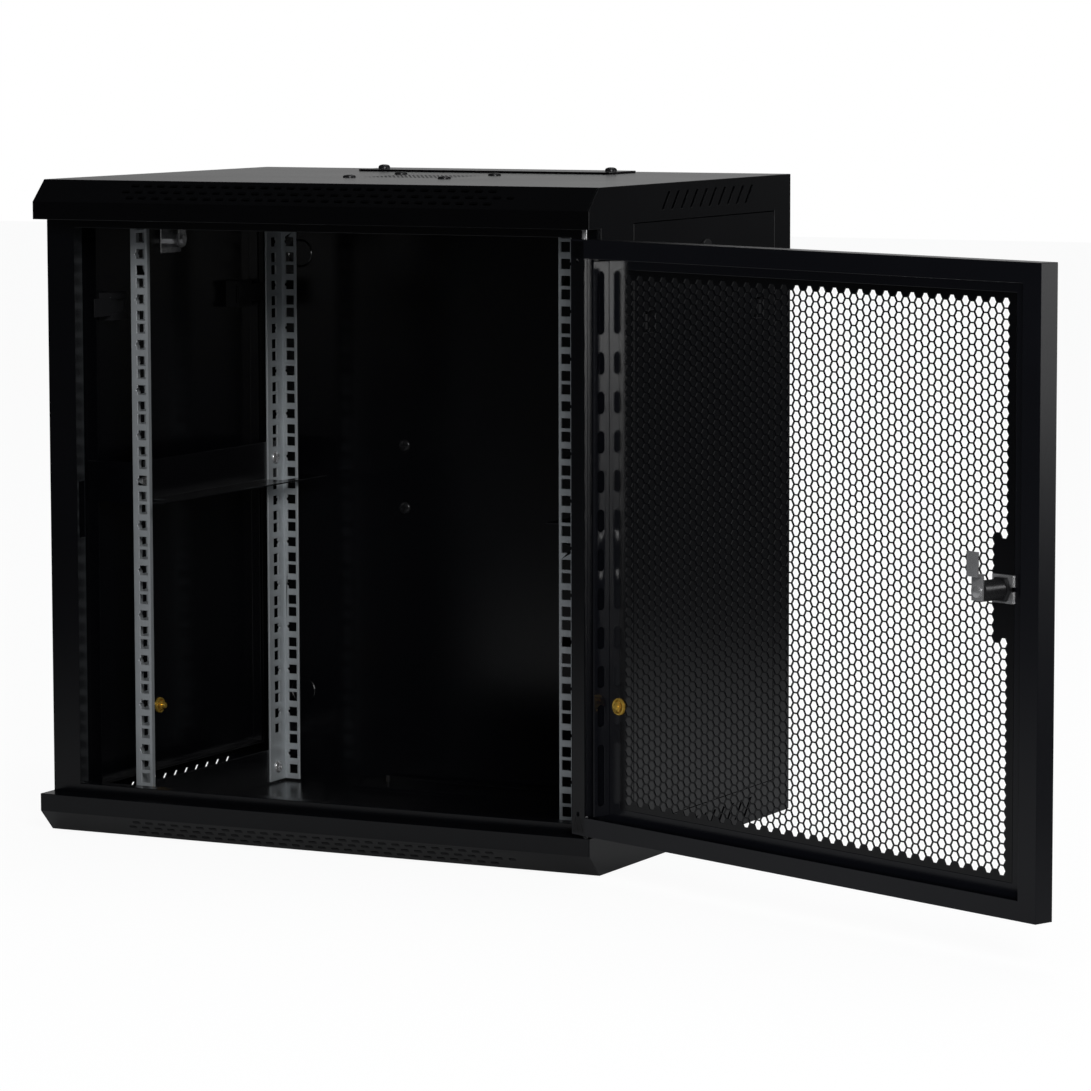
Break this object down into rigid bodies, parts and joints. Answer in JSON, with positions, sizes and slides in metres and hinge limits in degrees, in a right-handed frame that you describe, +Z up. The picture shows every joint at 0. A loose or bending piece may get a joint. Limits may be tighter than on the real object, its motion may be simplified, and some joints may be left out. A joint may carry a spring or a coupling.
{
  "type": "wall mount network cabinet",
  "caption": "Wall hung steel rack cabinet with a perforated front door on pin hinges, square hole rails, removable side panels and a roof fan.",
  "frame": {"origin": "centre of the cabinet's underside", "axes": "+X to the right as seen from the front, +Y from the door opening to the wall, +Z up"},
  "size_m": [1.1365, 0.6777, 0.643],
  "materials": {
    "black_paint": "semi-gloss fine powder coat",
    "rail_zinc": "dull zinc plate",
    "black_plastic": "matte moulded",
    "bright_nickel": "bright nickel plate",
    "black_screw": "black oxide",
    "brass": "yellow brass"
  },
  "bodies": {
    "cabinet": {"top_cover": "black_paint", "bottom_cover": "black_paint", "left_side_frame": "black_paint", "right_side_frame": "black_paint", "front_frame_left": "black_paint", "front_frame_right": "black_paint", "front_frame_top": "black_paint", "front_frame_bottom": "black_paint", "back_panel": "black_paint", "wall_bracket": "black_paint", "roof_cable_cover": "black_paint", "floor_cable_cover": "black_paint", "left_bottom_brace": "black_paint", "left_middle_brace": "black_paint", "left_top_brace": "black_paint", "right_bottom_brace": "black_paint", "right_middle_brace": "black_paint", "right_top_brace": "black_paint", "left_side_panel": "black_paint", "right_side_panel": "black_paint", "left_front_rail": "rail_zinc", "left_rear_rail": "rail_zinc", "right_front_rail": "rail_zinc", "right_rear_rail": "rail_zinc", "fan_frame": "black_plastic", "left_latch_housings": "black_plastic", "right_latch_housings": "black_plastic", "left_panel_lock": "bright_nickel", "right_panel_lock": "bright_nickel", "rail_screws": "bright_nickel", "wall_bracket_screws": "black_screw", "fan_screws": "black_screw", "roof_cover_screws": "black_screw", "floor_cover_screws": "black_screw", "panel_earth_studs": "brass"},
    "door": {"door_pan": "black_paint", "door_mesh": "black_paint", "door_stiffener": "black_paint", "door_lock": "bright_nickel", "door_top_pin": "bright_nickel", "door_bottom_pin": "bright_nickel", "door_earth_stud": "brass"},
    "door_lever": {"door_lever": "bright_nickel"},
    "fan_rotor": {"fan_rotor": "black_plastic"},
    "left_panel_lever": {"left_panel_lever": "bright_nickel"},
    "right_panel_lever": {"right_panel_lever": "bright_nickel"},
    "left_front_latch": {"left_front_latch": "black_plastic"},
    "left_rear_latch": {"left_rear_latch": "black_plastic"},
    "right_front_latch": {"right_front_latch": "black_plastic"},
    "right_rear_latch": {"right_rear_latch": "black_plastic"}
  },
  "joints": [
    {"name": "door_hinge", "type": "hinge", "parent": "cabinet", "child": "door", "pos_m": [0.29, -0.2135, 0.3155], "axis": [0, 0, 1], "range_deg": [-157, 20]},
    {"name": "door_lever_turn", "type": "hinge", "parent": "door", "child": "door_lever", "pos_m": [0.76903, -0.44269, 0.3155], "axis": [0.3907, 0.9205, 0], "range_deg": [0, 90]},
    {"name": "fan_spin", "type": "hinge", "parent": "cabinet", "child": "fan_rotor", "pos_m": [0, 0.012, 0.62], "axis": [0, 0, 1], "continuous": true},
    {"name": "left_panel_lever_turn", "type": "hinge", "parent": "cabinet", "child": "left_panel_lever", "pos_m": [-0.2847, 0.027, 0.57], "axis": [-1, 0, 0], "range_deg": [0, 90]},
    {"name": "left_front_latch_slide", "type": "slide", "parent": "cabinet", "child": "left_front_latch", "axis": [0, 1, 0], "range_m": [0, 0.012], "stiffness_N_per_m": 200, "springref_m": -0.005},
    {"name": "left_rear_latch_slide", "type": "slide", "parent": "cabinet", "child": "left_rear_latch", "axis": [0, -1, 0], "range_m": [0, 0.012], "stiffness_N_per_m": 200, "springref_m": -0.005},
    {"name": "right_panel_lever_turn", "type": "hinge", "parent": "cabinet", "child": "right_panel_lever", "pos_m": [0.2847, 0.027, 0.57], "axis": [1, 0, 0], "range_deg": [0, 90]},
    {"name": "right_front_latch_slide", "type": "slide", "parent": "cabinet", "child": "right_front_latch", "axis": [0, 1, 0], "range_m": [0, 0.012], "stiffness_N_per_m": 200, "springref_m": -0.005},
    {"name": "right_rear_latch_slide", "type": "slide", "parent": "cabinet", "child": "right_rear_latch", "axis": [0, -1, 0], "range_m": [0, 0.012], "stiffness_N_per_m": 200, "springref_m": -0.005}
  ]
}
